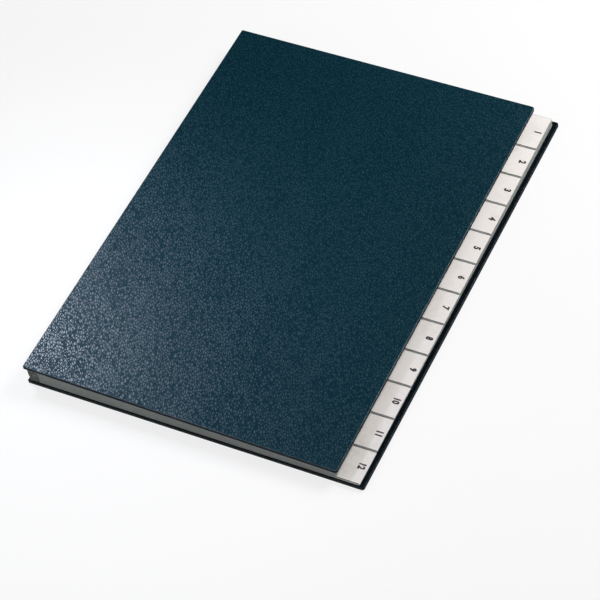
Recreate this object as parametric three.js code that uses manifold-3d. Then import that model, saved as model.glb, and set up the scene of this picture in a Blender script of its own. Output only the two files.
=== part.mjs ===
import * as THREE from 'three';
import { mergeVertices } from 'three/addons/utils/BufferGeometryUtils.js';
import Module from 'manifold-3d';

const wasm = await Module();
wasm.setup();

// Desk sorter lying closed on its back cover, in millimetres.
// X runs from the spine to the tabs, Y from foot to head, Z up from the table.
// The origin is the centre of the back cover's underside.

// Covers: grey board wrapped in leatherette, with a paper lining inside.
const coverHeight = 340;
const frontCoverWidth = 240;
const boardThickness = 2.5;
const wrapThickness = 0.21;
const wrapEdgeRound = 0.4;
const wrapEdgeSteps = 3;
const turnInWidth = 15;
const mitreSlit = 0.3;
const mitreEndInset = 2.5;
const liningThickness = 0.12;
const liningMargin = 4;
const spineCornerRadius = 0.8;
const foreCornerRadius = 1.8;

// Leaves: grey card, step cut so that each one shows a tab under the leaf above.
const leafCount = 12;
const leafThickness = 0.42;
const leafFootInset = 1;
const leafHeadInset = 4;
const tabHeadExtra = 3.8;
const tabStripWidth = 14.8;
const backCoverForeMargin = 3.4;
const tabUnderlap = 2.5;
const tabCornerRadius = 0.6;
const cutCornerRadius = 1.2;

// Labels: white film folded over the outer edge of each tab.
const labelThickness = 0.06;
const labelWidth = 17.5;
const labelEndMargin = 0.3;

// Bellows: one pleated cloth that is the spine and holds the leaves in its folds.
const clothThickness = 0.27;
const spineRecess = 2;
const pleatDepth = 8;
const lipWidth = 12;
const foldSteps = 6;

// Clearances.
const glueLine = 0.04;
const coverRestGap = 0.25;
const cornerSteps = 6;

// Worked out from the sizes above.
const backCoverWidth = frontCoverWidth + tabStripWidth + backCoverForeMargin;
const coverThickness = boardThickness + 2 * (wrapThickness + glueLine);
const spineX = -backCoverWidth / 2;
const leafFootY = -coverHeight / 2 + leafFootInset;
const leafHeadY = coverHeight / 2 - leafHeadInset;
const foldRadius = leafThickness / 2 + glueLine + clothThickness;
const outerFoldX = spineX + spineRecess + foldRadius;
const innerFoldX = spineX + spineRecess + pleatDepth;
const lipEndX = spineX + spineRecess + lipWidth;
const leafSpineX = outerFoldX;
const leafForeX = spineX + frontCoverWidth + tabStripWidth;
const cutLineX = spineX + frontCoverWidth - tabUnderlap;
const tabPitch = (leafHeadY - leafFootY - tabHeadExtra) / leafCount;
const spinePitch = leafThickness + 2 * clothThickness + 3 * glueLine;
const forePitch = leafThickness + labelThickness + 2 * glueLine;
const lowestLeafSpineZ = coverThickness + 2 * glueLine + clothThickness;
const lowestLeafForeZ = coverThickness + liningThickness + labelThickness + 3 * glueLine;

// Underside of the leaf at a level (0 is the lowest), at a distance along X.
// The leaves lie apart at the spine by the cloth between them and close up towards the tabs.
function leafUnderside(level, x) {
  const spineZ = lowestLeafSpineZ + level * spinePitch;
  const foreZ = lowestLeafForeZ + level * forePitch;
  const share = (x - leafSpineX) / (leafForeX - leafSpineX);
  return spineZ + (foreZ - spineZ) * share;
}

// Underside and upper side of the cloth layers below and above a leaf.
const lowerLayerBottom = (level, x) => leafUnderside(level, x) - glueLine - clothThickness;
const lowerLayerTop = (level, x) => leafUnderside(level, x) - glueLine;
const upperLayerBottom = (level, x) => leafUnderside(level, x) + leafThickness + glueLine;
const upperLayerTop = (level, x) => upperLayerBottom(level, x) + clothThickness;

// The front cover's inner face lies on the bellows' top lip and just over the first tab.
const topLevel = leafCount - 1;
const frontForeX = spineX + frontCoverWidth;
const lipSeatZ = upperLayerTop(topLevel, lipEndX) + glueLine;
const tabSeatZ = leafUnderside(topLevel, frontForeX) + leafThickness + glueLine
  + labelThickness + coverRestGap;
const frontSlope = (lipSeatZ - tabSeatZ) / (frontForeX - lipEndX);
const frontTilt = Math.atan(frontSlope);
const frontHingeZ = lipSeatZ + frontSlope * (lipEndX - spineX);

const finish = {
  leatherette: { color: '#0d2d37', roughness: 0.42, metalness: 0 },
  board: { color: '#8b8780', roughness: 0.95, metalness: 0 },
  lining: { color: '#20282b', roughness: 0.8, metalness: 0 },
  card: { color: '#6b716f', roughness: 0.9, metalness: 0 },
  film: { color: '#dcd8d3', roughness: 0.3, metalness: 0 },
  cloth: { color: '#2c3533', roughness: 0.85, metalness: 0 },
};

function namedMesh(name, geometry, look) {
  const mesh = new THREE.Mesh(geometry, new THREE.MeshStandardMaterial(look));
  mesh.name = name;
  return mesh;
}

function toManifold(geometry) {
  const bare = geometry.clone();
  bare.deleteAttribute('normal');
  bare.deleteAttribute('uv');
  const merged = mergeVertices(bare, 1e-4);
  return new wasm.Manifold(new wasm.Mesh({
    numProp: 3,
    vertProperties: merged.attributes.position.array,
    triVerts: new Uint32Array(merged.index.array),
  }));
}

function toGeometry(solid) {
  const mesh = solid.getMesh();
  const geometry = new THREE.BufferGeometry();
  geometry.setAttribute('position', new THREE.BufferAttribute(mesh.vertProperties, 3));
  geometry.setIndex(new THREE.BufferAttribute(mesh.triVerts, 1));
  return geometry;
}

// Rectangle from the spine edge (x 0) with one radius at the spine and one at the fore-edge.
function coverOutline(left, right, halfHeight, spineRadius, foreRadius) {
  const shape = new THREE.Shape();
  shape.moveTo(left + spineRadius, -halfHeight);
  shape.lineTo(right - foreRadius, -halfHeight);
  shape.absarc(right - foreRadius, -halfHeight + foreRadius, foreRadius, -Math.PI / 2, 0);
  shape.lineTo(right, halfHeight - foreRadius);
  shape.absarc(right - foreRadius, halfHeight - foreRadius, foreRadius, 0, Math.PI / 2);
  shape.lineTo(left + spineRadius, halfHeight);
  shape.absarc(left + spineRadius, halfHeight - spineRadius, spineRadius, Math.PI / 2, Math.PI);
  shape.lineTo(left, -halfHeight + spineRadius);
  shape.absarc(left + spineRadius, -halfHeight + spineRadius, spineRadius, Math.PI, 1.5 * Math.PI);
  return shape;
}

function squareOutline(left, right, halfHeight) {
  return new THREE.Shape([
    new THREE.Vector2(left, -halfHeight),
    new THREE.Vector2(right, -halfHeight),
    new THREE.Vector2(right, halfHeight),
    new THREE.Vector2(left, halfHeight),
  ]);
}

function flatPlate(shape, bottom, top) {
  const plate = new THREE.ExtrudeGeometry(shape, {
    depth: top - bottom,
    bevelEnabled: false,
    curveSegments: cornerSteps,
  });
  return plate.translate(0, 0, bottom);
}

// Plate whose edges are rounded over, as leatherette is round a board.
function roundedPlate(width, round) {
  const outline = coverOutline(
    round, width - round, coverHeight / 2 - round,
    spineCornerRadius - round, foreCornerRadius - round,
  );
  const plate = new THREE.ExtrudeGeometry(outline, {
    depth: coverThickness - 2 * round,
    bevelEnabled: true,
    bevelThickness: round,
    bevelSize: round,
    bevelSegments: wrapEdgeSteps,
    curveSegments: cornerSteps,
  });
  return plate.translate(0, 0, round);
}

// Slits where the turned-in leatherette meets at 45 degrees in each corner.
function mitreSlits(width) {
  const run = turnInWidth - mitreEndInset;
  const middle = (turnInWidth + mitreEndInset) / 2;
  const slits = [];
  for (const atFore of [false, true]) {
    for (const side of [-1, 1]) {
      const slit = new THREE.BoxGeometry(run * Math.SQRT2 + mitreSlit, mitreSlit, 2 * wrapThickness);
      slit.rotateZ(atFore === side > 0 ? Math.PI / 4 : -Math.PI / 4);
      const x = atFore ? width - middle : middle;
      slits.push(slit.translate(x, side * (coverHeight / 2 - middle), coverThickness));
    }
  }
  return slits;
}

// Leatherette over the outer face and the edges, turned in round the inner face.
function coverWrap(width) {
  const skin = wrapThickness + glueLine;
  const pocket = flatPlate(coverOutline(
    skin, width - skin, coverHeight / 2 - skin,
    spineCornerRadius - skin, foreCornerRadius - skin,
  ), wrapThickness, coverThickness - wrapThickness);
  const window = flatPlate(
    squareOutline(turnInWidth, width - turnInWidth, coverHeight / 2 - turnInWidth),
    coverThickness - 2 * wrapThickness, coverThickness + wrapThickness,
  );
  let solid = toManifold(roundedPlate(width, wrapEdgeRound)).subtract(toManifold(pocket));
  solid = solid.subtract(toManifold(window));
  for (const slit of mitreSlits(width)) {
    solid = solid.subtract(toManifold(slit));
  }
  return toGeometry(solid);
}

function coverBoard(width) {
  const inset = wrapThickness + glueLine + glueLine;
  return flatPlate(coverOutline(
    inset, width - inset, coverHeight / 2 - inset,
    spineCornerRadius - inset, foreCornerRadius - inset,
  ), wrapThickness + glueLine, wrapThickness + glueLine + boardThickness);
}

// Paper that lies on the turned-in edges and dips onto the board between them.
function coverLining(width) {
  const seat = coverThickness + glueLine;
  const dip = coverThickness - wrapThickness + glueLine;
  const well = turnInWidth + glueLine;
  const spineEdge = spineRecess + lipWidth + 2 * liningThickness;
  const half = coverHeight / 2;
  const flange = flatPlate(
    squareOutline(spineEdge, width - liningMargin, half - liningMargin),
    seat, seat + liningThickness,
  );
  const fill = flatPlate(
    squareOutline(well, width - well, half - well),
    dip, seat + liningThickness,
  );
  const inset = well + liningThickness;
  const hollow = flatPlate(
    squareOutline(inset, width - inset, half - inset),
    dip + liningThickness, seat + 2 * liningThickness,
  );
  return toGeometry(toManifold(flange).add(toManifold(fill)).subtract(toManifold(hollow)));
}

// One cover, outer face down, with its spine edge at x 0.
function makeCover(name, width) {
  const cover = new THREE.Group();
  cover.add(namedMesh(`${name}_board`, coverBoard(width), finish.board));
  cover.add(namedMesh(`${name}_wrap`, coverWrap(width), finish.leatherette));
  cover.add(namedMesh(`${name}_lining`, coverLining(width), finish.lining));
  return cover;
}

// Lays a flat sheet made at z 0 along the slope of the leaf at a level.
function layOnLevel(geometry, level) {
  const position = geometry.attributes.position;
  for (let i = 0; i < position.count; i += 1) {
    position.setZ(i, position.getZ(i) + leafUnderside(level, position.getX(i)));
  }
  return geometry;
}

// Foot end of the tab that the leaf with this number shows, 1 being the top leaf.
const tabFootY = (number) => leafFootY + (leafCount - number) * tabPitch;

function dividerLeaf(number) {
  const tabFoot = tabFootY(number);
  const shape = new THREE.Shape();
  shape.moveTo(leafSpineX, leafFootY);
  if (number < leafCount) {
    shape.lineTo(cutLineX, leafFootY);
    shape.lineTo(cutLineX, tabFoot - cutCornerRadius);
    shape.absarc(cutLineX + cutCornerRadius, tabFoot - cutCornerRadius, cutCornerRadius,
      Math.PI, Math.PI / 2, true);
  }
  shape.lineTo(leafForeX - tabCornerRadius, tabFoot);
  shape.absarc(leafForeX - tabCornerRadius, tabFoot + tabCornerRadius, tabCornerRadius,
    -Math.PI / 2, 0);
  shape.lineTo(leafForeX, leafHeadY - tabCornerRadius);
  shape.absarc(leafForeX - tabCornerRadius, leafHeadY - tabCornerRadius, tabCornerRadius,
    0, Math.PI / 2);
  shape.lineTo(leafSpineX, leafHeadY);
  return layOnLevel(flatPlate(shape, 0, leafThickness), leafCount - number);
}

function extrudeAlongY(shape, fromY, toY) {
  const geometry = new THREE.ExtrudeGeometry(shape, {
    depth: toY - fromY,
    bevelEnabled: false,
  });
  geometry.rotateX(Math.PI / 2);
  return geometry.translate(0, toY, 0);
}

// Film that runs over the tab, round the leaf's outer edge and back under it.
function tabLabel(number) {
  const inner = leafForeX - labelWidth;
  const edge = leafForeX + glueLine;
  const below = -glueLine;
  const above = leafThickness + glueLine;
  const section = new THREE.Shape([
    new THREE.Vector2(inner, below),
    new THREE.Vector2(inner, below - labelThickness),
    new THREE.Vector2(edge + labelThickness, below - labelThickness),
    new THREE.Vector2(edge + labelThickness, above + labelThickness),
    new THREE.Vector2(inner, above + labelThickness),
    new THREE.Vector2(inner, above),
    new THREE.Vector2(edge, above),
    new THREE.Vector2(edge, below),
  ]);
  const foot = tabFootY(number) + tabCornerRadius;
  const tabHead = number > 1 ? tabFootY(number - 1) : leafHeadY;
  const head = tabHead - labelEndMargin;
  return layOnLevel(extrudeAlongY(section, foot, head), leafCount - number);
}

// Points of a round fold, from one side of the cloth to the other.
function foldPoints(x, lowZ, highZ, towardsSpine, upwards) {
  const radius = (highZ - lowZ) / 2;
  const points = [];
  for (let i = 0; i <= foldSteps; i += 1) {
    const turn = Math.PI * (upwards ? i / foldSteps : 1 - i / foldSteps);
    const side = towardsSpine ? -1 : 1;
    points.push(new THREE.Vector2(
      x + side * radius * Math.sin(turn),
      (lowZ + highZ) / 2 - radius * Math.cos(turn),
    ));
  }
  return points;
}

// The cloth's section: a lip on the back cover, then up and round each leaf in turn,
// pleated inwards between two leaves, and a lip under the front cover.
function bellowsSection() {
  const outer = [new THREE.Vector2(lipEndX, lowerLayerBottom(0, lipEndX))];
  const inner = [new THREE.Vector2(lipEndX, lowerLayerTop(0, lipEndX))];
  const pleatX = innerFoldX - clothThickness - glueLine;
  for (let level = 0; level < leafCount; level += 1) {
    outer.push(...foldPoints(
      outerFoldX, lowerLayerBottom(level, outerFoldX), upperLayerTop(level, outerFoldX), true, true,
    ));
    inner.push(...foldPoints(
      outerFoldX, lowerLayerTop(level, outerFoldX), upperLayerBottom(level, outerFoldX), true, true,
    ));
    if (level < topLevel) {
      outer.push(new THREE.Vector2(pleatX, upperLayerTop(level, pleatX)));
      outer.push(new THREE.Vector2(pleatX, lowerLayerBottom(level + 1, pleatX)));
      inner.push(...foldPoints(
        pleatX, upperLayerBottom(level, pleatX), lowerLayerTop(level + 1, pleatX), false, true,
      ));
    }
  }
  outer.push(new THREE.Vector2(lipEndX, upperLayerTop(topLevel, lipEndX)));
  inner.push(new THREE.Vector2(lipEndX, upperLayerBottom(topLevel, lipEndX)));
  return new THREE.Shape([...outer, ...inner.reverse()]);
}

const sorter = new THREE.Group();

const backCover = makeCover('back_cover', backCoverWidth);
backCover.position.set(spineX, 0, 0);
sorter.add(backCover);

sorter.add(namedMesh(
  'spine_bellows',
  extrudeAlongY(bellowsSection(), leafFootY, leafHeadY),
  finish.cloth,
));
for (let number = 1; number <= leafCount; number += 1) {
  const tag = String(number).padStart(2, '0');
  sorter.add(namedMesh(`divider_leaf_${tag}`, dividerLeaf(number), finish.card));
  sorter.add(namedMesh(`tab_label_${tag}`, tabLabel(number), finish.film));
}

// The front cover is turned over onto the leaves and leans down towards the tabs.
const frontCover = makeCover('front_cover', frontCoverWidth);
frontCover.rotation.x = Math.PI;
frontCover.position.set(0, 0, coverThickness);
const frontHinge = new THREE.Group();
frontHinge.add(frontCover);
frontHinge.position.set(spineX, 0, frontHingeZ);
frontHinge.rotation.y = frontTilt;
sorter.add(frontHinge);

export default sorter;
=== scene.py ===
"""Dresses the desk sorter: leatherette covers, card leaves, film labels and a pleated cloth spine."""

import logging
import math
from dataclasses import dataclass, field
from enum import Enum
from typing import Any, Callable, Iterable, Union

import bmesh
import bpy
from mathutils import Matrix, Vector, noise


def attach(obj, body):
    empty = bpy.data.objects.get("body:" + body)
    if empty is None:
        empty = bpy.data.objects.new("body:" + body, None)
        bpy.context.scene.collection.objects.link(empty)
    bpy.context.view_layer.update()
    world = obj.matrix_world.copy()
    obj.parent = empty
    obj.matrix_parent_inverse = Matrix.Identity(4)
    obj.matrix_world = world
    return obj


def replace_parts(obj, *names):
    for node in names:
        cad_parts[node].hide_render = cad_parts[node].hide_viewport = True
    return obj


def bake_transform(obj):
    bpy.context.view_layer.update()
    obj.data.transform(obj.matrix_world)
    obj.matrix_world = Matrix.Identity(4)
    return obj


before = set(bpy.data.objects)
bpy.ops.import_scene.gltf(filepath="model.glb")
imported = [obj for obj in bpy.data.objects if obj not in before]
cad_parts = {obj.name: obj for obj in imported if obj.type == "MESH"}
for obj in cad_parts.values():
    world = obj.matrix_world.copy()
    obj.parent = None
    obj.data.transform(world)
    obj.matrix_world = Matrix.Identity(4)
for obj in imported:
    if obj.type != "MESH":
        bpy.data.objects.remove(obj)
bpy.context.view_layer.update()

log = logging.getLogger("desk_sorter")

MM = 0.001
BMesh, Vert, Edge, Face = bmesh.types.BMesh, bmesh.types.BMVert, bmesh.types.BMEdge, bmesh.types.BMFace
Piece, Material, Tree = bpy.types.Object, bpy.types.Material, bpy.types.NodeTree
Socket = bpy.types.NodeSocket
Sockets = dict[str, Socket]
Number = Union[float, Socket]
Colour = tuple[float, float, float, float]
Point = tuple[float, float, float]


@dataclass(frozen=True)
class Sizes:
    """Sizes and places that the covers and the leaf block share, as the source has them."""

    spine_x: float = -129.1 * MM
    front_width: float = 240 * MM
    back_width: float = 258.2 * MM
    cover_height: float = 340 * MM
    cover_thickness: float = 3.0 * MM
    lining: float = 0.12 * MM
    glue: float = 0.04 * MM
    front_underside: float = 16.057635960044394 * MM
    front_lean: float = 0.022867425943664442


SIZES = Sizes()


# Shader wiring


class Wiring:
    """Adds nodes to one node tree and joins them."""

    def __init__(self, tree: Tree) -> None:
        """Keeps the tree that the nodes go into."""
        self.tree = tree

    def node(self, kind: str, values: dict[str, Any] | None = None, **settings: Any) -> bpy.types.Node:
        """Adds a node.

        Args:
            kind: the node type's identifier.
            values: what goes into its inputs, either a value or another node's output.
            **settings: properties of the node itself.

        Returns:
            The new node.
        """
        node = self.tree.nodes.new(kind)
        for name, value in settings.items():
            setattr(node, name, value)
        self.fill(node, values or {})
        return node

    def fill(self, node: bpy.types.Node, values: dict[str, Any]) -> None:
        """Feeds several inputs of a node, given by their names."""
        for name, value in values.items():
            self.feed(node.inputs[name], value)

    def feed(self, target: Socket, value: Any) -> None:
        """Joins an output to an input, or writes a plain value into it."""
        if isinstance(value, bpy.types.NodeSocket):
            self.tree.links.new(value, target)
        else:
            target.default_value = value

    def math(self, operation: str, first: Number, second: Number = 0.0, clamp: bool = False) -> Socket:
        """Works out one sum of two numbers.

        Args:
            operation: the Math node's operation.
            first: first number or output.
            second: second number or output.
            clamp: whether the result is held between 0 and 1.

        Returns:
            The result's output.
        """
        node = self.node("ShaderNodeMath", operation=operation, use_clamp=clamp)
        self.feed(node.inputs[0], first)
        self.feed(node.inputs[1], second)
        return node.outputs[0]

    def ramp(self, value: Socket, low: float, high: float, to_low: float = 0.0, to_high: float = 1.0) -> Socket:
        """Maps a value smoothly from one range to another.

        Args:
            value: the output to map.
            low: value that becomes to_low.
            high: value that becomes to_high.
            to_low: lower end of the result.
            to_high: upper end of the result.

        Returns:
            The mapped output.
        """
        node = self.node("ShaderNodeMapRange", interpolation_type="SMOOTHSTEP")
        self.fill(node, {"Value": value, "From Min": low, "From Max": high, "To Min": to_low, "To Max": to_high})
        return node.outputs["Result"]

    def mix(self, share: Number, first: Any, second: Any, blend: str = "MIX") -> Socket:
        """Mixes two colours.

        Args:
            share: how much of the second colour is used.
            first: first colour or output.
            second: second colour or output.
            blend: the Mix node's blend type.

        Returns:
            The mixed colour's output.
        """
        node = self.node("ShaderNodeMix", data_type="RGBA", blend_type=blend)
        self.feed(node.inputs[0], share)
        self.feed(node.inputs[6], first)
        self.feed(node.inputs[7], second)
        return node.outputs[2]

    def group(self, tree: Tree, place: Socket, **values: Number) -> Any:
        """Adds a node group.

        Args:
            tree: the node group.
            place: the coordinates that it reads.
            **values: its other inputs.

        Returns:
            The group's outputs.
        """
        return self.node("ShaderNodeGroup", {"Vector": place, **values}, node_tree=tree).outputs

    def bump(self, height: Socket, strength: float, distance: float, over: Socket | None = None) -> Socket:
        """Turns a height into a normal.

        Args:
            height: the height's output.
            strength: how much of it shows, from 0 to 1.
            distance: how high a value of 1 stands, in metres.
            over: the normal that it lies over, or None for the surface's own.

        Returns:
            The normal's output.
        """
        values: dict[str, Any] = {"Strength": strength, "Distance": distance, "Height": height}
        if over is not None:
            values["Normal"] = over
        return self.node("ShaderNodeBump", values).outputs[0]


def shared_group(name: str, inputs: dict[str, Any], outputs: Iterable[str],
                 fill: Callable[[Wiring, Sockets, Sockets], None]) -> Tree:
    """Builds a node group once, and hands back the same one after that.

    Args:
        name: the group's name.
        inputs: input names with their starting values; None makes a vector input.
        outputs: the names of its outputs, which are all values.
        fill: adds the nodes, given the wiring and the group's sockets.

    Returns:
        The node group.
    """
    known = bpy.data.node_groups.get(name)
    if known:
        return known
    tree = bpy.data.node_groups.new(name, "ShaderNodeTree")
    for label, start in inputs.items():
        kind = "NodeSocketVector" if start is None else "NodeSocketFloat"
        socket = tree.interface.new_socket(label, in_out="INPUT", socket_type=kind)
        if start is not None:
            socket.default_value = start
    for label in outputs:
        tree.interface.new_socket(label, in_out="OUTPUT", socket_type="NodeSocketFloat")
    wiring = Wiring(tree)
    entry = wiring.node("NodeGroupInput")
    result = wiring.node("NodeGroupOutput")
    fill(wiring, {s.name: s for s in entry.outputs if s.name},
         {s.name: s for s in result.inputs if s.name})
    return tree


def leather_grain() -> Tree:
    """Pebbled grain: irregular cells with creases between them, and finer grain on each cell."""

    def fill(w: Wiring, given: Sockets, out: Sockets) -> None:
        """Wires cells, creases and fine grain."""
        wander, crease_width, pit_scale, pit_share = 0.9 * MM, 0.28, 2.3, 0.14
        drift = w.node("ShaderNodeTexNoise", {"Vector": given["Vector"], "Scale": 420.0, "Detail": 2.0})
        offset = w.node("ShaderNodeVectorMath", operation="SCALE")
        w.feed(offset.inputs[0], drift.outputs["Color"])
        w.feed(offset.inputs["Scale"], wander)
        place = w.node("ShaderNodeVectorMath", operation="ADD")
        w.feed(place.inputs[0], given["Vector"])
        w.feed(place.inputs[1], offset.outputs[0])
        cells = w.node("ShaderNodeTexVoronoi", {"Vector": place.outputs[0], "Scale": given["Cells"]},
                       feature="DISTANCE_TO_EDGE")
        dome = w.ramp(cells.outputs["Distance"], 0.02, crease_width)
        finer = w.math("MULTIPLY", given["Cells"], pit_scale)
        pits = w.node("ShaderNodeTexVoronoi", {"Vector": place.outputs[0], "Scale": finer}, feature="F1")
        pit = w.ramp(pits.outputs["Distance"], 0.15, 0.75)
        patch = w.node("ShaderNodeTexNoise", {"Vector": given["Vector"], "Scale": 95.0, "Detail": 3.0})
        depth = w.ramp(patch.outputs["Fac"], 0.3, 0.72, 0.8, 1.0)
        height = w.math("SUBTRACT", w.math("MULTIPLY", dome, depth), w.math("MULTIPLY", pit, pit_share))
        w.feed(out["Height"], height)
        w.feed(out["Crease"], w.math("SUBTRACT", 1.0, dome, clamp=True))

    return shared_group("Leather grain", {"Vector": None, "Cells": 820.0}, ("Height", "Crease"), fill)


def paper_fibre() -> Tree:
    """Paper and card: short fibres, flecks and a soft cloudiness."""

    def fill(w: Wiring, given: Sockets, out: Sockets) -> None:
        """Wires fibres, flecks and clouds."""
        sets = []
        for squeeze, detail, roughness in (((1.0, 0.28, 1.0), 5.0, 0.62), ((0.3, 1.0, 1.0), 4.0, 0.6)):
            stretched = w.node("ShaderNodeMapping", {"Vector": given["Vector"], "Scale": squeeze}).outputs[0]
            fibre = w.node("ShaderNodeTexNoise", {"Vector": stretched, "Scale": given["Fibres"],
                                                  "Detail": detail, "Roughness": roughness})
            sets.append((stretched, fibre.outputs["Fac"]))
        (lengthways, first), (_, second) = sets
        fleck_scale = w.math("MULTIPLY", given["Fibres"], 0.35)
        fleck = w.node("ShaderNodeTexVoronoi", {"Vector": lengthways, "Scale": fleck_scale}, feature="F1")
        cloud = w.node("ShaderNodeTexNoise", {"Vector": given["Vector"], "Scale": 24.0, "Detail": 3.0})
        w.feed(out["Height"], w.math("MULTIPLY", w.math("ADD", first, second), 0.5))
        w.feed(out["Fleck"], w.ramp(fleck.outputs["Distance"], 0.16, 0.05))
        w.feed(out["Cloud"], cloud.outputs["Fac"])

    return shared_group("Paper fibre", {"Vector": None, "Fibres": 1600.0}, ("Height", "Fleck", "Cloud"), fill)


def cloth_weave() -> Tree:
    """Plain weave: threads that pass over and under each other, with uneven threads."""

    def fill(w: Wiring, given: Sockets, out: Sockets) -> None:
        """Wires two sets of crossing threads."""
        parts = w.node("ShaderNodeSeparateXYZ", {"Vector": given["Vector"]})
        sideways = w.math("ADD", parts.outputs["X"], parts.outputs["Z"])
        across = w.math("SINE", w.math("MULTIPLY", sideways, given["Threads"]))
        along = w.math("SINE", w.math("MULTIPLY", parts.outputs["Y"], given["Threads"]))
        crossing = w.math("MULTIPLY", across, along)
        uneven = w.node("ShaderNodeTexNoise", {"Vector": given["Vector"], "Scale": 260.0, "Detail": 3.0})
        w.feed(out["Height"], w.math("ADD", w.math("MULTIPLY", crossing, 0.5),
                                     w.math("MULTIPLY", uneven.outputs["Fac"], 0.6)))
        w.feed(out["Thread"], w.ramp(crossing, -0.9, 0.9))

    return shared_group("Cloth weave", {"Vector": None, "Threads": 9000.0},
                        ("Height", "Thread"), fill)


def handling() -> Tree:
    """Slow changes of polish over a surface, from handling and from how the sheet was made."""

    def fill(w: Wiring, given: Sockets, out: Sockets) -> None:
        """Wires one broad and one fine noise."""
        finer, broad_share = 9.0, 0.65
        broad = w.node("ShaderNodeTexNoise", {"Vector": given["Vector"], "Scale": given["Size"], "Detail": 2.0})
        fine = w.node("ShaderNodeTexNoise", {"Vector": given["Vector"],
                                             "Scale": w.math("MULTIPLY", given["Size"], finer), "Detail": 4.0})
        w.feed(out["Polish"], w.math("ADD", w.math("MULTIPLY", broad.outputs["Fac"], broad_share),
                                     w.math("MULTIPLY", fine.outputs["Fac"], 1.0 - broad_share)))
        w.feed(out["Swell"], broad.outputs["Fac"])

    return shared_group("Handling", {"Vector": None, "Size": 11.0},
                        ("Polish", "Swell"), fill)


# Finishes


def shade(red: int, green: int, blue: int) -> Colour:
    """A colour as it is seen, from 0 to 255, turned into the linear values that a shader takes."""
    linear = [c / 255 / 12.92 if c <= 10 else ((c / 255 + 0.055) / 1.055) ** 2.4 for c in (red, green, blue)]
    return (*linear, 1.0)


def new_material(name: str) -> tuple[Material, Wiring, bpy.types.Node, Socket]:
    """Starts a material.

    Args:
        name: the material's name.

    Returns:
        The material, its wiring, its shader and the Object coordinates.
    """
    material = bpy.data.materials.new(name)
    material.use_nodes = True
    wiring = Wiring(material.node_tree)
    place = wiring.node("ShaderNodeTexCoord").outputs["Object"]
    return material, wiring, material.node_tree.nodes["Principled BSDF"], place


@dataclass(frozen=True)
class Leatherette:
    """Embossed leather cloth for the covers: dull between the grain's tops, with painted light and shade on the
    grain, painted shade on the edges and the turn-ins, and a painted highlight along the rounded rims.
    """

    name: str
    ground: Colour
    ridge: Colour
    crease: Colour
    worn: Colour
    cells: float
    stretch: float
    lay: float
    depth: float
    roughness: float
    gloss: float
    tint: Colour
    dull: float = 0.1
    tucked_dark: float = 0.88
    tucked_dull: float = 0.7

    def material(self) -> Material:
        """Builds the material."""
        material, w, shader, place = new_material(self.name)
        turned = (0.0, 0.0, math.radians(self.lay))
        along = w.node("ShaderNodeMapping", {"Vector": place, "Rotation": turned,
                                             "Scale": (1.0, 1.0 / self.stretch, 1.0)}, vector_type="TEXTURE")
        grain = w.group(leather_grain(), along.outputs[0], Cells=self.cells)
        wear = w.group(handling(), place)
        tucked = w.node("ShaderNodeAttribute", attribute_name="tucked").outputs["Fac"]
        rim = w.node("ShaderNodeAttribute", attribute_name="rim").outputs["Fac"]
        # Painted light on the grain: the tops take a lighter tone and the creases a darker one, as light and
        # shade would fall on the relief.
        tops = w.ramp(grain["Height"], 0.22, 0.66)
        colour = w.mix(tops, self.ground, self.ridge)
        colour = w.mix(w.math("MULTIPLY", grain["Crease"], 0.75), colour, self.crease)
        # Painted shade: the edges and the turn-ins are darkened towards the shade colour, as if out of the
        # light; their coat is dulled as well.
        colour = w.mix(w.math("MULTIPLY", tucked, self.tucked_dark), colour, self.crease, "MULTIPLY")
        # Painted highlight: a pale bluish line along the rounded rims, stronger on the outer rim and varying
        # along its length.
        rim_highlight_share = w.math("MULTIPLY", rim, w.ramp(wear["Polish"], 0.3, 0.65, 0.35, 0.8))
        shine = w.math("ADD", w.math("MULTIPLY", tops, 1.0 - self.dull), self.dull)
        shine = w.math("MULTIPLY", shine, w.math("SUBTRACT", 1.0, w.math("MULTIPLY", tucked, self.tucked_dull)))
        swell = w.bump(wear["Swell"], 0.2, 0.4 * MM)
        w.fill(shader, {
            "Base Color": w.mix(rim_highlight_share, colour, self.worn),
            "Roughness": w.ramp(wear["Polish"], 0.3, 0.7, 0.62, 0.74),
            "Specular IOR Level": 0.04,
            "Specular Tint": self.tint,
            "Coat Weight": w.math("MULTIPLY", shine, self.gloss),
            "Coat Roughness": self.roughness,
            "Normal": w.bump(grain["Height"], 1.0, self.depth, swell),
        })
        return material


@dataclass(frozen=True)
class Paper:
    """Card, board and lining paper."""

    name: str
    ground: Colour
    light: Colour
    fleck: Colour
    fibres: float
    depth: float
    roughness: float

    def material(self) -> Material:
        """Builds the material."""
        material, w, shader, place = new_material(self.name)
        fibre = w.group(paper_fibre(), place, Fibres=self.fibres)
        colour = w.mix(w.ramp(fibre["Height"], 0.36, 0.64), self.ground, self.light)
        colour = w.mix(w.math("MULTIPLY", fibre["Fleck"], 0.5), colour, self.fleck)
        colour = w.mix(w.ramp(fibre["Cloud"], 0.35, 0.7, 0.0, 0.3), colour, self.ground)
        w.fill(shader, {
            "Base Color": colour,
            "Roughness": w.ramp(fibre["Height"], 0.3, 0.7, self.roughness - 0.08, self.roughness + 0.06),
            "Specular IOR Level": 0.3,
            "Normal": w.bump(fibre["Height"], 0.8, self.depth),
        })
        return material


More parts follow.
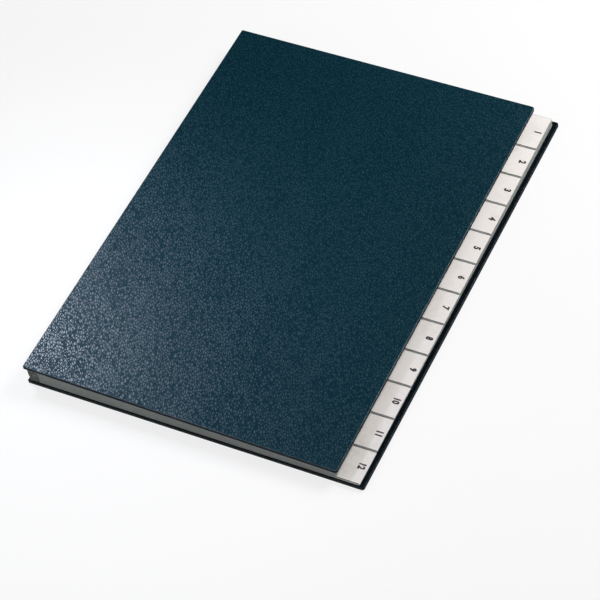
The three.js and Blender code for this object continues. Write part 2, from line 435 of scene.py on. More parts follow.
@dataclass(frozen=True)
class Film:
    """Smooth film for the labels, white where it is printed and clear round the leaf's edge."""

    name: str
    ground: Colour
    shadow: Colour
    clear: Colour
    roughness: float

    def material(self) -> Material:
        """Builds the material."""
        material, w, shader, place = new_material(self.name)
        polish = w.group(handling(), place, Size=38.0)["Polish"]
        white = w.mix(w.ramp(polish, 0.42, 0.66), self.ground, self.shadow)
        printed = w.node("ShaderNodeAttribute", attribute_name="printed").outputs["Fac"]
        w.fill(shader, {
            "Base Color": w.mix(w.ramp(printed, 0.2, 0.8), self.clear, white),
            "Roughness": w.ramp(polish, 0.35, 0.65, self.roughness - 0.06, self.roughness + 0.1),
            "Specular IOR Level": 0.3,
            "Normal": w.bump(polish, 0.3, 0.12 * MM),
        })
        return material


@dataclass(frozen=True)
class Weave:
    """Woven cloth for the bellows."""

    name: str
    ground: Colour
    thread: Colour
    threads: float
    roughness: float

    def material(self) -> Material:
        """Builds the material."""
        material, w, shader, place = new_material(self.name)
        weave = w.group(cloth_weave(), place, Threads=self.threads)
        w.fill(shader, {
            "Base Color": w.mix(weave["Thread"], self.ground, self.thread),
            "Roughness": w.ramp(weave["Height"], 0.0, 1.0, self.roughness + 0.05, self.roughness - 0.07),
            "Specular IOR Level": 0.2,
            "Sheen Weight": 0.12,
            "Normal": w.bump(weave["Height"], 0.7, 0.07 * MM),
        })
        return material


@dataclass(frozen=True)
class Ink:
    """Printing ink, a little uneven where the film took less of it; it also colours the painted shadow lines at
    the labels' ends.
    """

    name: str
    ground: Colour
    thin: Colour

    def material(self) -> Material:
        """Builds the material."""
        material, w, shader, place = new_material(self.name)
        polish = w.group(handling(), place, Size=160.0)["Polish"]
        w.fill(shader, {"Base Color": w.mix(w.ramp(polish, 0.45, 0.7), self.ground, self.thin),
                        "Roughness": w.ramp(polish, 0.3, 0.7, 0.42, 0.6)})
        return material


class Finish(Enum):
    """Every finish on the sorter."""

    # The leatherette's colours include painted light: a lighter tone for the grain's tops, a darker one for
    # painted shade in the creases and on the edges, and a pale bluish one for the painted highlight on the rims.
    LEATHERETTE = Leatherette("Teal leatherette", shade(2, 46, 58), shade(2, 53, 66), shade(2, 38, 49),
                              worn=shade(92, 108, 122), cells=690.0, stretch=0.52, lay=28.0, depth=0.062 * MM,
                              roughness=0.35, gloss=0.95, tint=(0.84, 0.86, 1.0, 1.0))
    GREYBOARD = Paper("Greyboard", shade(128, 124, 116), shade(150, 146, 138), shade(84, 80, 74),
                      fibres=1100.0, depth=0.05 * MM, roughness=0.95)
    LINING = Paper("Lining paper", shade(30, 36, 39), shade(42, 49, 52), shade(20, 24, 27),
                   fibres=1700.0, depth=0.02 * MM, roughness=0.78)
    CARD = Paper("Grey card", shade(147, 152, 148), shade(166, 170, 165), shade(116, 121, 116),
                 fibres=1500.0, depth=0.03 * MM, roughness=0.86)
    FILM = Film("White label film", shade(236, 231, 227), shade(224, 219, 214),
                clear=shade(140, 144, 141), roughness=0.5)
    CLOTH = Weave("Spine cloth", shade(34, 42, 41), shade(62, 72, 69), threads=9000.0, roughness=0.84)
    INK = Ink("Black print", shade(16, 16, 17), shade(38, 38, 40))

    def material(self) -> Material:
        """The finish's material, built the first time that it is asked for."""
        return bpy.data.materials.get(self.value.name) or self.value.material()


# Mesh helpers


def finished(name: str, bm: BMesh, finish: Finish, place: Matrix = Matrix.Identity(4),
             sharp: float = 40.0) -> Piece:
    """Turns a bmesh into an object that sits at the origin.

    Args:
        name: the piece's name.
        bm: the shape; it is freed.
        finish: what covers it.
        place: moves the shape to its place in the mesh.
        sharp: edges past this angle, in degrees, are shaded as edges.

    Returns:
        The new object.
    """
    bmesh.ops.transform(bm, matrix=place, verts=bm.verts)
    bmesh.ops.recalc_face_normals(bm, faces=bm.faces)
    mesh = bpy.data.meshes.new(name)
    bm.to_mesh(mesh)
    bm.free()
    mesh.polygons.foreach_set("use_smooth", [True] * len(mesh.polygons))
    mesh.set_sharp_from_angle(angle=math.radians(sharp))
    mesh.materials.append(finish.material())
    piece = bpy.data.objects.new(name, mesh)
    bpy.context.scene.collection.objects.link(piece)
    return piece


def even_normals(piece: Piece) -> None:
    """Keeps large flat faces flat up to their rounded edges."""
    weighted = piece.modifiers.new("Flat faces", "WEIGHTED_NORMAL")
    weighted.keep_sharp = True
    weighted.weight = 60


def rectangle(left: float, right: float, foot: float, head: float, height: float = 0.0) -> BMesh:
    """A flat rectangle of one face, facing up.

    Args:
        left: lowest X.
        right: highest X.
        foot: lowest Y.
        head: highest Y.
        height: its Z.

    Returns:
        The bmesh.
    """
    bm = bmesh.new()
    bmesh.ops.create_grid(bm, x_segments=1, y_segments=1, size=0.5)
    bmesh.ops.scale(bm, vec=(right - left, head - foot, 1.0), verts=bm.verts)
    bmesh.ops.translate(bm, vec=((left + right) / 2, (foot + head) / 2, height), verts=bm.verts)
    return bm


def cut(bm: BMesh, point: Iterable[float], normal: Iterable[float],
        faces: list[Face] | None = None) -> None:
    """Cuts faces along a plane.

    Args:
        bm: the shape.
        point: a point on the plane.
        normal: the plane's direction.
        faces: the faces to cut, or None for all of them.
    """
    chosen = faces if faces is not None else bm.faces[:]
    around = set(chosen)
    for face in chosen:
        around.update(face.edges)
        around.update(face.verts)
    bmesh.ops.bisect_plane(bm, geom=list(around), dist=1e-7, plane_co=Vector(point), plane_no=Vector(normal))


def rounded(bm: BMesh, chosen: list[Edge] | list[Vert], radius: float, steps: int = 6,
            affect: str = "VERTICES") -> None:
    """Rounds corners of a flat sheet, or edges.

    Args:
        bm: the shape.
        chosen: the corner vertices or the edges.
        radius: radius of the rounding.
        steps: segments of the rounding.
        affect: what is rounded, "VERTICES" or "EDGES".
    """
    bmesh.ops.bevel(bm, geom=chosen, offset=radius, offset_type="OFFSET", affect=affect,
                    segments=steps, profile=0.5, material=-1)


def thicken(bm: BMesh, thickness: float) -> None:
    """Gives a flat sheet its thickness, upwards, with closed edges."""
    grown = bmesh.ops.extrude_face_region(bm, geom=bm.faces[:], use_keep_orig=True)
    top = [v for v in grown["geom"] if isinstance(v, Vert)]
    bmesh.ops.translate(bm, vec=(0.0, 0.0, thickness), verts=top)


# Covers


@dataclass
class Cover:
    """One cover: leatherette wrapped round a board, with a paper lining inside."""

    name: str
    width: float
    place: Matrix
    height: float = SIZES.cover_height
    thickness: float = SIZES.cover_thickness
    skin: float = 0.21 * MM
    edge_round: float = 0.42 * MM
    spine_corner: float = 0.8 * MM
    fore_corner: float = 1.8 * MM
    turn_in: float = 15 * MM
    slit_end: float = 2.5 * MM
    slit_width: float = 0.3 * MM
    slit_depth: float = 0.6
    lining_thickness: float = SIZES.lining
    lining_margin: float = 4 * MM
    lining_spine: float = 14.24 * MM
    lining_corner: float = 1.0 * MM
    dip_run: float = 0.5 * MM
    glue: float = SIZES.glue

    def build(self) -> list[Piece]:
        """Makes the wrap and the lining, and dresses the hidden board."""
        pieces = [self._wrap(), self._lining()]
        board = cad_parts[f"{self.name}_board"]
        board.data.materials.clear()
        board.data.materials.append(Finish.GREYBOARD.material())
        return pieces

    def _wrap(self) -> Piece:
        """Leatherette over the outer face and the edges, turned in round the inner face."""
        bm = bmesh.new()
        bmesh.ops.create_cube(bm, size=1.0)
        bmesh.ops.scale(bm, vec=(self.width, self.height, self.thickness), verts=bm.verts)
        bmesh.ops.translate(bm, vec=(self.width / 2, 0.0, self.thickness / 2), verts=bm.verts)
        for at_fore, radius in ((True, self.fore_corner), (False, self.spine_corner)):
            upright = [e for e in bm.edges
                       if abs(e.verts[0].co.z - e.verts[1].co.z) > self.thickness / 2
                       and (min(v.co.x for v in e.verts) > self.width / 2) == at_fore]
            rounded(bm, upright, radius, 8, "EDGES")
        rim = [e for e in bm.edges if abs(e.verts[0].co.z - e.verts[1].co.z) < 1e-6 and len(e.link_faces) == 2
               and abs(e.link_faces[0].normal.z - e.link_faces[1].normal.z) > 0.5]
        rounded(bm, rim, self.edge_round, 5, "EDGES")
        self._open_inside(bm)
        self._mark_edges(bm)
        wrap = finished(f"{self.name}_leatherette", bm, Finish.LEATHERETTE, self.place, sharp=35.0)
        wall = wrap.modifiers.new("Skin", "SOLIDIFY")
        wall.thickness = self.skin
        wall.offset = -1.0
        even_normals(wrap)
        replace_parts(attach(wrap, self.name), f"{self.name}_wrap")
        return wrap

    def _mark_edges(self, bm: BMesh) -> None:
        """Marks the rounded rims for the painted highlight, and all that lies behind the outer rim for the
        painted shade.
        """
        tucked = bm.verts.layers.float.new("tucked")
        rim = bm.verts.layers.float.new("rim")
        for vert in bm.verts:
            near = min(vert.co.z, self.thickness - vert.co.z) / self.edge_round
            # Painted shade on the sides and the turn-ins: everything above the outer rim's rounding.
            vert[tucked] = 1.0 if vert.co.z > 0.9 * self.edge_round else 0.0
            outer = vert.co.z < self.thickness / 2
            # Painted highlight on the rims: full on the outer rim, weaker on the inner one.
            vert[rim] = (1.0 if outer else 0.3) if 0.01 < near < 0.6 else 0.0

    def _cut_frame(self, bm: BMesh, inset: float,
                   chosen: Callable[[], list[Face]] | None = None) -> None:
        """Cuts faces along four lines that run at one distance inside the cover's edges.

        Args:
            bm: the shape.
            inset: the distance from the edges.
            chosen: finds the faces to cut, or None for all of them.
        """
        half = self.height / 2
        for point, normal in (((inset, 0, 0), (1, 0, 0)), ((self.width - inset, 0, 0), (1, 0, 0)),
                              ((0, half - inset, 0), (0, 1, 0)), ((0, inset - half, 0), (0, 1, 0))):
            cut(bm, point, normal, chosen() if chosen else None)

    def _open_inside(self, bm: BMesh) -> None:
        """Opens the window between the turn-ins and sinks the mitre slits into the corners."""
        def inner() -> list[Face]:
            """The faces on the inner side."""
            return [f for f in bm.faces
                    if f.normal.z > 0.99 and f.calc_center_median().z > self.thickness - 1e-6]

        bm.normal_update()
        half = self.height / 2
        low, high = self.slit_end, self.turn_in
        for inset in (low, high):
            self._cut_frame(bm, inset, inner)
            bm.normal_update()
        slits = []
        for corner_x, turn in ((0.0, 1.0), (self.width, -1.0)):
            for side in (-1.0, 1.0):
                def from_corner(face: Face) -> tuple[float, float]:
                    """How far a face's middle lies from this corner, along each edge."""
                    centre = face.calc_center_median()
                    return turn * (centre.x - corner_x), half - side * centre.y

                def in_corner(face: Face) -> bool:
                    """Whether a face lies in this corner, between the two insets."""
                    return all(low < distance < high for distance in from_corner(face))

                half_slit = self.slit_width / 2 * math.sqrt(2)
                for shift in (-half_slit, half_slit):
                    cut(bm, (corner_x + turn * shift, side * half, 0), (turn, side, 0),
                        [f for f in inner() if in_corner(f)])
                bm.normal_update()
                for face in filter(in_corner, inner()):
                    along, across = from_corner(face)
                    if abs(along - across) < half_slit / 2:
                        slits.append(face)
        window = [f for f in inner() if self.turn_in < f.calc_center_median().x < self.width - self.turn_in
                  and abs(f.calc_center_median().y) < half - self.turn_in]
        sunk = bmesh.ops.extrude_discrete_faces(bm, faces=slits)
        verts = {v for f in sunk["faces"] for v in f.verts}
        bmesh.ops.translate(bm, vec=(0.0, 0.0, -self.slit_depth * self.skin), verts=list(verts))
        bmesh.ops.delete(bm, geom=window, context="FACES")

    def _lining(self) -> Piece:
        """Paper that lies on the turn-ins and dips softly onto the board between them."""
        half = self.height / 2
        seat = self.thickness + self.glue
        bm = rectangle(self.lining_spine, self.width - self.lining_margin,
                       self.lining_margin - half, half - self.lining_margin, seat)
        shallow = self.turn_in + 2 * self.glue
        for inset in (shallow, shallow + self.dip_run):
            self._cut_frame(bm, inset)
        deep = shallow + self.dip_run - 1e-6
        dipped = [v for v in bm.verts if deep < v.co.x < self.width - deep and abs(v.co.y) < half - deep]
        bmesh.ops.translate(bm, vec=(0.0, 0.0, -self.skin), verts=dipped)
        outer = [v for v in bm.verts if len(v.link_edges) == 2]
        rounded(bm, outer, self.lining_corner, 4)
        thicken(bm, self.lining_thickness)
        lining = finished(f"{self.name}_endpaper", bm, Finish.LINING, self.place, sharp=50.0)
        even_normals(lining)
        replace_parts(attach(lining, self.name), f"{self.name}_lining")
        return lining


# Leaves, labels and bellows


@dataclass
class LeafBlock:
    """Twelve step-cut leaves, their labels and numbers, and the bellows that holds them."""

    count: int = 12
    leaf: float = 0.42 * MM
    spine_x: float = SIZES.spine_x
    cover_top: float = SIZES.cover_thickness
    front_width: float = SIZES.front_width
    tab_strip: float = 14.8 * MM
    tab_underlap: float = 2.5 * MM
    foot_y: float = -169 * MM
    head_y: float = 166 * MM
    tab_head_extra: float = 3.8 * MM
    tab_corner: float = 0.6 * MM
    cut_corner: float = 1.2 * MM
    film: float = 0.06 * MM
    label_underlap: float = 2.7 * MM
    label_end: float = 0.3 * MM
    label_corner: float = 0.5 * MM
    cloth: float = 0.27 * MM
    recess: float = 2 * MM
    pleat_depth: float = 8 * MM
    lip: float = 12 * MM
    lip_bend: float = 1.2 * MM
    lip_blend: float = 0.6 * MM
    slack: float = 0.28
    slack_spread: float = 0.3
    glue: float = SIZES.glue
    lining: float = SIZES.lining
    digit_height: float = 5.4 * MM
    digit_margin: float = 1.8 * MM
    digit_width: float = 0.78
    digit_weight: float = 0.055
    rule_width: float = 0.4 * MM
    rule_shorter: float = 0.6 * MM
    print_lift: float = 0.004 * MM
    print_thickness: float = 0.012 * MM
    cloth_rows: int = 56
    body: str = "leaf_block"
    fold_x: float = field(init=False)
    fold_radius: float = field(init=False)
    fore_x: float = field(init=False)
    cut_x: float = field(init=False)
    tab_pitch: float = field(init=False)

    def __post_init__(self) -> None:
        """Works out the lines that the pieces share."""
        self.fold_x = self.spine_x + self.recess + self.leaf / 2 + self.glue + self.cloth
        self.fold_radius = self.leaf / 2 + self.glue + self.cloth / 2
        self.fore_x = self.spine_x + self.front_width + self.tab_strip
        self.cut_x = self.spine_x + self.front_width - self.tab_underlap
        self.tab_pitch = (self.head_y - self.foot_y - self.tab_head_extra) / self.count

    def underside(self, level: int, x: float) -> float:
        """Height of a leaf's underside.

        Args:
            level: 0 for the lowest leaf.
            x: where along X.

        Returns:
            The height in metres.
        """
        at_spine = (self.cover_top + 2 * self.glue + self.cloth
                    + level * (self.leaf + 2 * self.cloth + 3 * self.glue))
        at_fore = (self.cover_top + self.lining + self.film + 3 * self.glue
                   + level * (self.leaf + self.film + 2 * self.glue))
        return at_spine + (at_fore - at_spine) * (x - self.fold_x) / (self.fore_x - self.fold_x)

    def middle(self, level: int, x: float) -> float:
        """Height of a leaf's middle, for a level and a place as in underside."""
        return self.underside(level, x) + self.leaf / 2

    def slope(self, level: int) -> Matrix:
        """The shear that lays a sheet made at height 0 along the leaf at a level."""
        rise = self.underside(level, self.fore_x) - self.underside(level, self.fold_x)
        lay = Matrix.Identity(4)
        lay[2][0] = rise / (self.fore_x - self.fold_x)
        lay[2][3] = self.underside(level, 0.0)
        return lay

    def tab_foot(self, number: int) -> float:
        """Y of the foot end of a leaf's own tab, leaf 1 being the top one."""
        return self.foot_y + (self.count - number) * self.tab_pitch

    def build(self) -> list[Piece]:
        """Makes the bellows, and each leaf with its label and number."""
        pieces = self._bellows()
        for number in range(1, self.count + 1):
            pieces += [self._leaf(number), self._label(number), self._digits(number)]
        return pieces

    def _leaf(self, number: int) -> Piece:
        """One leaf of card, cut away below its own tab."""
        foot = self.tab_foot(number)
        bm = rectangle(self.fold_x, self.fore_x, self.foot_y, self.head_y)
        if number < self.count:
            cut(bm, (self.cut_x, 0, 0), (1, 0, 0))
            cut(bm, (0, foot, 0), (0, 1, 0))
            away = [f for f in bm.faces
                    if f.calc_center_median().x > self.cut_x and f.calc_center_median().y < foot]
            bmesh.ops.delete(bm, geom=away, context="FACES")
            bmesh.ops.dissolve_faces(bm, faces=bm.faces[:])
            inner = [v for v in bm.verts if abs(v.co.x - self.cut_x) < 1e-6 and abs(v.co.y - foot) < 1e-6]
            rounded(bm, inner, self.cut_corner)
        tips = [v for v in bm.verts if abs(v.co.x - self.fore_x) < 1e-6 and len(v.link_edges) == 2
                and (abs(v.co.y - foot) < 1e-6 or abs(v.co.y - self.head_y) < 1e-6)]
        rounded(bm, tips, self.tab_corner)
        thicken(bm, self.leaf)
        leaf = finished(f"leaf_{number:02d}_card", bm, Finish.CARD, self.slope(self.count - number))
        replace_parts(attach(leaf, self.body), f"divider_leaf_{number:02d}")
        return leaf

    def _label_ends(self, number: int) -> tuple[float, float]:
        """Foot and head ends of a label."""
        head = self.tab_foot(number - 1) if number > 1 else self.head_y
        return self.tab_foot(number) + self.tab_corner, head - self.label_end

    def _label(self, number: int) -> Piece:
        """Film over the tab, round the leaf's outer edge in a soft fold, and back under it."""
        foot, head = self._label_ends(number)
        inner = self.fore_x - self.tab_strip - self.label_underlap
        middle = self.leaf / 2
        radius = self.leaf / 2 + self.glue + self.film / 2
        bm = rectangle(inner, self.fore_x, foot, head, middle + radius)
        edge = [e for e in bm.edges if all(v.co.x > self.fore_x - 1e-6 for v in e.verts)]
        spun = bmesh.ops.spin(bm, geom=edge, cent=(self.fore_x, 0, middle), axis=(0, 1, 0),
                              angle=math.pi, steps=8, use_merge=False)
        last = [g for g in spun["geom_last"] if isinstance(g, Edge)]
        back = bmesh.ops.extrude_edge_only(bm, edges=last)
        verts = [g for g in back["geom"] if isinstance(g, Vert)]
        bmesh.ops.translate(bm, vec=(inner - self.fore_x, 0.0, 0.0), verts=verts)
        corners = [v for v in bm.verts if abs(v.co.x - inner) < 1e-6]
        rounded(bm, corners, self.label_corner, 4)
        bmesh.ops.remove_doubles(bm, verts=bm.verts, dist=1e-7)
        printed = bm.verts.layers.float.new("printed")
        for vert in bm.verts:
            vert[printed] = 1.0 if vert.co.z > middle + radius - 1e-6 else 0.0
        label = finished(f"label_{number:02d}_film", bm, Finish.FILM, self.slope(self.count - number),
                         sharp=60.0)
        wall = label.modifiers.new("Film", "SOLIDIFY")
        wall.thickness = self.film
        wall.offset = 0.0
        even_normals(label)
        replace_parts(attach(label, self.body), f"tab_label_{number:02d}")
        return label

    def _digits(self, number: int) -> Piece:
        """The tab's number, read from head to foot, as print on the film, and a painted shadow line across the
        label's foot end, by the step down to the next leaf.
        """
        curve = bpy.data.curves.new(f"number_{number:02d}", "FONT")
        curve.body = str(number)
        curve.size = 1.0
        curve.resolution_u = 6
        curve.offset = self.digit_weight
        text = bpy.data.objects.new("text", curve)
        bpy.context.scene.collection.objects.link(text)
        bpy.context.view_layer.update()
        mesh = bpy.data.meshes.new_from_object(text)
        bpy.data.objects.remove(text)
        bpy.data.curves.remove(curve)
        bm = bmesh.new()
        bm.from_mesh(mesh)
        bpy.data.meshes.remove(mesh)
        bmesh.ops.remove_doubles(bm, verts=bm.verts, dist=1e-5)
        low = Vector((min(v.co.x for v in bm.verts), min(v.co.y for v in bm.verts), 0.0))
        high = Vector((max(v.co.x for v in bm.verts), max(v.co.y for v in bm.verts), 0.0))
        size = self.digit_height / (high.y - low.y)
        foot, head = self._label_ends(number)
        top = self.leaf + self.glue + self.film + self.print_lift
        bmesh.ops.translate(bm, vec=(-(low.x + high.x) / 2, -high.y, 0.0), verts=bm.verts)
        bmesh.ops.scale(bm, vec=(size * self.digit_width, size, 1.0), verts=bm.verts)
        bmesh.ops.rotate(bm, cent=(0, 0, 0), matrix=Matrix.Rotation(-math.pi / 2, 3, "Z"), verts=bm.verts)
        bmesh.ops.translate(bm, vec=(self.fore_x - self.digit_margin, (foot + head) / 2, top), verts=bm.verts)
        # Painted shadow: a thin dark line across the label's foot end, where the step down to the next leaf is.
        shadow_line = bmesh.ops.create_grid(bm, x_segments=1, y_segments=1, size=0.5)["verts"]
        across = self.tab_strip + self.label_underlap
        bmesh.ops.scale(bm, vec=(across - self.rule_shorter, self.rule_width, 1.0), verts=shadow_line)
        bmesh.ops.translate(bm, vec=(self.fore_x - across / 2, foot + self.rule_width / 2, top), verts=shadow_line)
        thicken(bm, self.print_thickness)
        digits = finished(f"number_{number:02d}_print", bm, Finish.INK, self.slope(self.count - number))
        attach(digits, self.body)
        return digits

    def _bellows(self) -> list[Piece]:
        """The pleats, which keep to the leaves, and the two lips."""
        top = self.count - 1
        pleats = self._strip("bellows_pleats", self._pleat_path)
        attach(pleats, self.body)
        back = self._strip("bellows_back_lip", lambda bm: self._lip_path(bm, 0, -1.0))
        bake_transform(back)
        front = self._strip("bellows_front_lip", lambda bm: self._lip_path(bm, top, 1.0))
        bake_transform(front)
        for strip in (pleats, back, front):
            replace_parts(strip, "spine_bellows")
        return [pleats, back, front]

    def _strip(self, name: str, path: Callable[[BMesh], None]) -> Piece:
        """Cloth along the whole height, from a path that is drawn in the XZ plane.

        Args:
            name: the piece's name.
            path: draws the chain of edges at the foot end.

        Returns:
            The cloth, with its thickness in the mesh.
        """
        bm = bmesh.new()
        path(bm)
        run = (self.head_y - self.foot_y) / self.cloth_rows
        edges = bm.edges[:]
        for _ in range(self.cloth_rows):
            grown = bmesh.ops.extrude_edge_only(bm, edges=edges)["geom"]
            edges = [g for g in grown if isinstance(g, Edge)
                     and abs(g.verts[0].co.y - g.verts[1].co.y) < 1e-9 and len(g.link_faces) == 1]
            verts = list({v for e in edges for v in e.verts})
            bmesh.ops.translate(bm, vec=(0.0, run, 0.0), verts=verts)
        bmesh.ops.recalc_face_normals(bm, faces=bm.faces)
        self._slacken(bm)
        bmesh.ops.solidify(bm, geom=bm.faces[:], thickness=self.cloth)
        return finished(name, bm, Finish.CLOTH, sharp=70.0)

    def _slacken(self, bm: BMesh) -> None:
        """Lets the folds bulge unevenly towards the spine, within the covers' recess."""
        for vert in bm.verts:
            beyond = (self.fold_x - vert.co.x) / self.fold_radius
            if beyond <= 0:
                continue
            at = Vector((0.0, vert.co.y * 55, vert.co.z * 900))
            vert.co.x -= beyond * (self.slack + self.slack_spread * noise.noise(at)) * MM

    def _turn(self, bm: BMesh, last: Vert, centre: tuple[float, float], angle: float,
              steps: int) -> Vert:
        """Carries the path round a fold.

        Args:
            bm: the path.
            last: its last point.
            centre: X and Z of the fold's centre.
            angle: how far it turns about Y.
            steps: segments of the fold.

        Returns:
            The new last point.
        """
        spun = bmesh.ops.spin(bm, geom=[last], cent=(centre[0], self.foot_y, centre[1]), axis=(0, 1, 0),
                              angle=angle, steps=steps, use_merge=False)
        return next(g for g in spun["geom_last"] if isinstance(g, Vert))

    def _step(self, bm: BMesh, last: Vert, x: float, z: float,
              pieces: int = 1) -> Vert:
        """Carries the path straight to a point, in a number of pieces."""
        start = last.co.copy()
        goal = Vector((x, self.foot_y, z))
        for i in range(1, pieces + 1):
            new = bmesh.ops.extrude_vert_indiv(bm, verts=[last])["verts"][0]
            new.co = start.lerp(goal, i / pieces)
            last = new
        return last

    def _pleat_path(self, bm: BMesh) -> None:
        """The path of the pleats: up and round each leaf, and inwards between two leaves."""
        mid = self.fold_radius
        pleat_x = self.spine_x + self.recess + self.pleat_depth - self.cloth - self.glue
        centre = self.middle(0, self.fold_x)
        last = bm.verts.new((self.fold_x - mid, self.foot_y, centre))
        for level in range(self.count - 1):
            last = self._turn(bm, last, (self.fold_x, centre), math.pi / 2, 4)
            above = self.middle(level, pleat_x) + mid
            last = self._step(bm, last, pleat_x, above, 3)
            below = self.middle(level + 1, pleat_x) - mid
            last = self._turn(bm, last, (pleat_x, (above + below) / 2), -math.pi, 4)
            centre = self.middle(level + 1, self.fold_x)
            last = self._step(bm, last, self.fold_x, centre - mid, 3)
            last = self._turn(bm, last, (self.fold_x, centre), math.pi / 2, 4)

    def _lip_path(self, bm: BMesh, level: int, side: float) -> None:
        """The path of a lip, from the middle of an outer fold to its end under or on a cover.

        Args:
            bm: takes the path.
            level: the leaf that the fold goes round.
            side: 1 for the lip above the leaf, -1 for the one below.
        """
        mid, centre = self.fold_radius, self.middle(level, self.fold_x)
        last = bm.verts.new((self.fold_x - mid, self.foot_y, centre))
        last = self._turn(bm, last, (self.fold_x, centre), side * math.pi / 2, 8)
        for x, pieces in ((self.fold_x + self.lip_bend, 8), (self.spine_x + self.recess + self.lip, 6)):
            last = self._step(bm, last, x, self.middle(level, x) + side * mid, pieces)


# Studio


def aimed(name: str, data: bpy.types.ID, place: Point, aim: Point, roll: float = 0.0) -> Piece:
    """Adds a lamp or a camera that faces a point.

    Args:
        name: the object's name.
        data: the lamp or the camera.
        place: where it stands.
        aim: the point that it faces.
        roll: its turn about the line of sight, in degrees.

    Returns:
        The new object.
    """
    holder = bpy.data.objects.new(name, data)
    bpy.context.scene.collection.objects.link(holder)
    turn = (Vector(aim) - Vector(place)).to_track_quat("-Z", "Y").to_matrix().to_4x4()
    holder.matrix_world = Matrix.Translation(place) @ turn @ Matrix.Rotation(math.radians(roll), 4, "Z")
    return holder


@dataclass(frozen=True)
class Lamp:
    """A softbox with two sides, or a spot with a wholly soft edge and a cone in degrees; power is in watts."""

    name: str
    place: Point
    aim: Point
    power: float
    colour: Point
    sides: tuple[float, float] | None = None
    cone: float = 0.0
    softness: float = 0.0

    def build(self) -> None:
        """Adds the lamp."""
        light = bpy.data.lights.new(self.name, "AREA" if self.sides else "SPOT")
        if self.sides:
            light.shape = "RECTANGLE"
            light.size, light.size_y = self.sides
        else:
            light.spot_size = math.radians(self.cone)
            light.spot_blend = 1.0
            light.shadow_soft_size = self.softness
        light.energy = self.power
        light.color = self.colour
        aimed(self.name, light, self.place, self.aim)


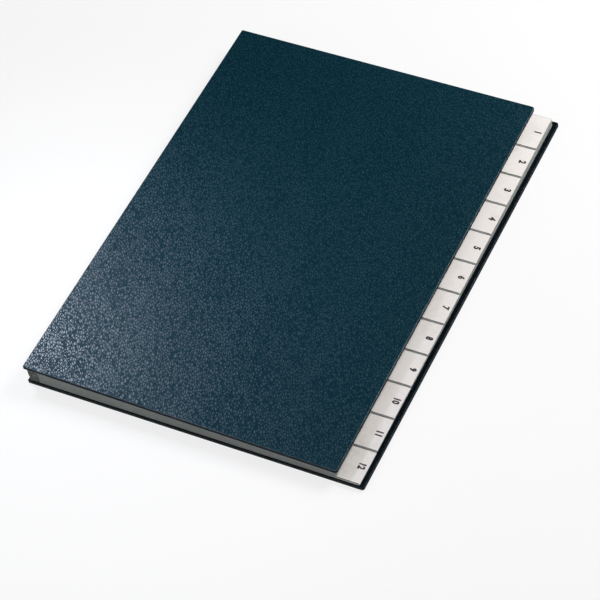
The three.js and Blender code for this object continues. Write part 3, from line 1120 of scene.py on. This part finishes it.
@dataclass
class Studio:
    """Pale floor, soft lights and the camera."""

    floor_size: float = 9.0
    floor_drop: float = 0.02 * MM
    floor_glow: float = 0.78
    camera_place: Point = (0.62366648, -0.87795587, 1.25548735)
    aim: Point = (0.01987242, -0.04046479, 0.0)
    roll: float = -12.78218304
    lens: float = 139.63948
    shift: float = 0.5 / 600
    lamps: tuple[Lamp, ...] = (
        Lamp("Head softbox", (0.42, 0.52, 0.74), (0.08, 0.08, 0.0), 7.5, (1.0, 0.99, 0.98), sides=(0.42, 0.34)),
        Lamp("Sheen spot", (-0.516, 0.181, 0.65), (-0.11, -0.12, 0.0), 18.0, (0.8, 0.85, 1.0),
             cone=34.0, softness=0.09),
        Lamp("Foot softbox", (-0.42, -0.42, 0.22), (-0.1, -0.17, 0.0), 0.48, (1.0, 1.0, 1.0),
             sides=(0.25, 0.2)),
    )

    def build(self) -> None:
        """Sets up the floor, the world, the lamps and the camera."""
        self._floor()
        self._world()
        for lamp in self.lamps:
            lamp.build()
        self._camera()

    def _floor(self) -> None:
        """A wide pale floor that keeps the soft shadow."""
        reach = self.floor_size / 2
        bm = rectangle(-reach, reach, -reach, reach, -self.floor_drop)
        mesh = bpy.data.meshes.new("floor")
        bm.to_mesh(mesh)
        bm.free()
        floor = bpy.data.objects.new("floor", mesh)
        bpy.context.scene.collection.objects.link(floor)
        material = bpy.data.materials.new("Pale floor")
        material.use_nodes = True
        w = Wiring(material.node_tree)
        shader = material.node_tree.nodes["Principled BSDF"]
        place = w.node("ShaderNodeTexCoord").outputs["Object"]
        speck = w.node("ShaderNodeTexNoise", {"Vector": place, "Scale": 40.0, "Detail": 3.0})
        grey = w.mix(speck.outputs["Fac"], (0.86, 0.86, 0.86, 1), (0.89, 0.89, 0.89, 1))
        w.fill(shader, {"Base Color": grey, "Roughness": 0.9, "Specular IOR Level": 0.1})
        glow = w.node("ShaderNodeEmission", {"Color": (1.0, 1.0, 1.0, 1.0), "Strength": 1.0})
        both = w.node("ShaderNodeMixShader")
        w.feed(both.inputs[0], w.math("MULTIPLY", self._seen(w), self.floor_glow))
        w.feed(both.inputs[1], shader.outputs[0])
        w.feed(both.inputs[2], glow.outputs[0])
        w.feed(material.node_tree.nodes["Material Output"].inputs["Surface"], both.outputs[0])
        mesh.materials.append(material)

    def _seen(self, w: Wiring) -> Socket:
        """1 for what the camera sees, directly or in a gloss or through glass, else 0."""
        path = w.node("ShaderNodeLightPath").outputs
        direct = w.math("MAXIMUM", path["Is Camera Ray"], path["Is Glossy Ray"])
        return w.math("MAXIMUM", direct, path["Is Transmission Ray"])

    def _world(self) -> None:
        """A pale surround that is white at the horizon and dim overhead."""
        world = bpy.data.worlds.new("Studio")
        bpy.context.scene.world = world
        world.use_nodes = True
        w = Wiring(world.node_tree)
        up = w.node("ShaderNodeSeparateXYZ", {"Vector": w.node("ShaderNodeTexCoord").outputs["Generated"]})
        dim = w.ramp(up.outputs["Z"], 0.04, 0.16)
        sky = w.mix(dim, (1.0, 1.0, 1.0, 1.0), (0.03, 0.031, 0.033, 1.0))
        room = w.mix(self._seen(w), (0.3, 0.303, 0.31, 1.0), sky)
        w.feed(world.node_tree.nodes["Background"].inputs["Color"], room)

    def _camera(self) -> None:
        """Places the camera at the photograph's angle."""
        lens = bpy.data.cameras.new("Camera")
        lens.sensor_width = 36.0
        lens.lens = self.lens
        lens.shift_x = -self.shift
        lens.shift_y = self.shift
        lens.clip_start = 0.05
        bpy.context.scene.camera = aimed("Camera", lens, self.camera_place, self.aim, self.roll)


# Main


def main() -> None:
    """Builds the sorter and its studio."""
    logging.basicConfig(level=logging.INFO, format="%(name)s: %(message)s")
    bpy.context.scene.view_settings.view_transform = "Standard"
    spine = Matrix.Translation((SIZES.spine_x, 0.0, 0.0))
    lean = Matrix.Rotation(SIZES.front_lean, 4, "Y")
    turned = Matrix.Translation((0.0, 0.0, SIZES.cover_thickness)) @ Matrix.Rotation(math.pi, 4, "X")
    front = Matrix.Translation((SIZES.spine_x, 0.0, SIZES.front_underside)) @ lean @ turned
    pieces: list[Piece] = []
    for part in (Cover("back_cover", SIZES.back_width, spine), LeafBlock(),
                 Cover("front_cover", SIZES.front_width, front)):
        made = part.build()
        pieces += made
        log.info("%s: %s", type(part).__name__, ", ".join(p.name for p in made))
    Studio().build()
    log.info("%d pieces", len(pieces))


if __name__ == "__main__":
    main()
